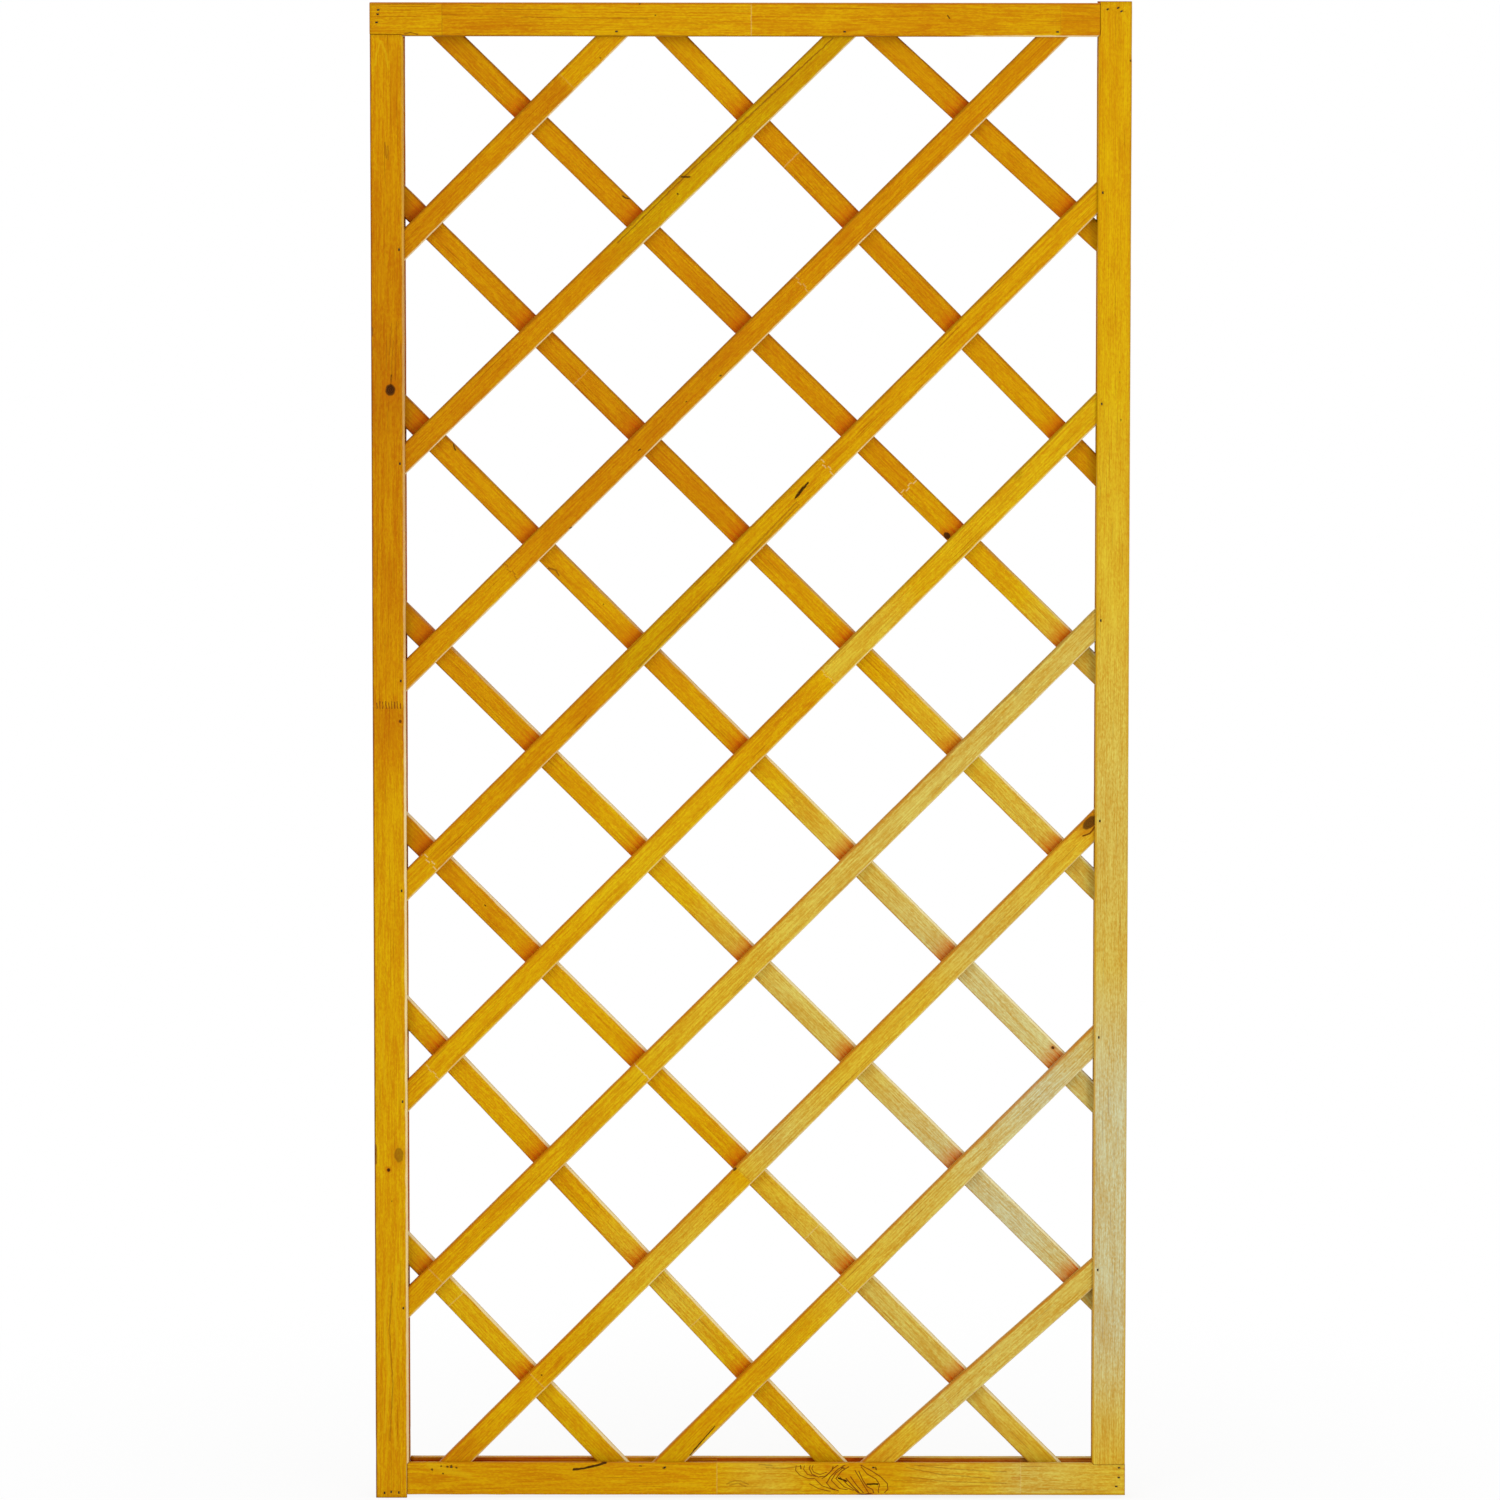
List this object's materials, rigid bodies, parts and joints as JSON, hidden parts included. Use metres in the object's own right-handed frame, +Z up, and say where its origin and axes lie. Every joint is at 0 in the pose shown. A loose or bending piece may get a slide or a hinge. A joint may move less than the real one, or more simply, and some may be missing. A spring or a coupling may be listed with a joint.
{
  "type": "diagonal lattice trellis panel",
  "caption": "Tall rectangular garden trellis panel: grooved softwood frame with pinned corner joints around two crossing layers of diagonal slats.",
  "frame": {"origin": "centre of the bounding box's bottom face, under the middle of the panel", "axes": "+Z up along the stiles, +X along the rails to the right seen from the front, -Y towards the viewer of the front"},
  "size_m": [0.904, 0.045, 1.8],
  "materials": {
    "frame_wood": "golden stained planed pine, satin",
    "front_slat_wood": "golden stained planed pine, satin",
    "rear_slat_wood": "golden stained planed pine, satin",
    "brad_steel": "dulled wire, stained over"
  },
  "bodies": {
    "root": {"top_rail": "frame_wood", "right_stile": "frame_wood", "bottom_rail": "frame_wood", "left_stile": "frame_wood", "front_slat_up_4": "front_slat_wood", "front_slat_up_3": "front_slat_wood", "front_slat_up_2": "front_slat_wood", "front_slat_up_1": "front_slat_wood", "front_slat_middle": "front_slat_wood", "front_slat_down_1": "front_slat_wood", "front_slat_down_2": "front_slat_wood", "front_slat_down_3": "front_slat_wood", "front_slat_down_4": "front_slat_wood", "rear_slat_up_4": "rear_slat_wood", "rear_slat_up_3": "rear_slat_wood", "rear_slat_up_2": "rear_slat_wood", "rear_slat_up_1": "rear_slat_wood", "rear_slat_middle": "rear_slat_wood", "rear_slat_down_1": "rear_slat_wood", "rear_slat_down_2": "rear_slat_wood", "rear_slat_down_3": "rear_slat_wood", "rear_slat_down_4": "rear_slat_wood", "front_slat_up_4_left_brad": "brad_steel", "front_slat_up_4_right_brad": "brad_steel", "front_slat_up_3_left_brad": "brad_steel", "front_slat_up_3_right_brad": "brad_steel", "front_slat_up_2_left_brad": "brad_steel", "front_slat_up_2_right_brad": "brad_steel", "front_slat_up_1_left_brad": "brad_steel", "front_slat_up_1_right_brad": "brad_steel", "front_slat_middle_left_brad": "brad_steel", "front_slat_middle_right_brad": "brad_steel", "front_slat_down_1_left_brad": "brad_steel", "front_slat_down_1_right_brad": "brad_steel", "front_slat_down_2_left_brad": "brad_steel", "front_slat_down_2_right_brad": "brad_steel", "front_slat_down_3_left_brad": "brad_steel", "front_slat_down_3_right_brad": "brad_steel", "front_slat_down_4_left_brad": "brad_steel", "front_slat_down_4_right_brad": "brad_steel", "top_left_brad_1": "brad_steel", "top_left_brad_2": "brad_steel", "top_left_brad_3": "brad_steel", "top_right_brad_1": "brad_steel", "top_right_brad_2": "brad_steel", "top_right_brad_3": "brad_steel", "bottom_right_brad_1": "brad_steel", "bottom_right_brad_2": "brad_steel", "bottom_right_brad_3": "brad_steel", "bottom_left_brad_1": "brad_steel", "bottom_left_brad_2": "brad_steel", "bottom_left_brad_3": "brad_steel"}
  },
  "joints": []
}
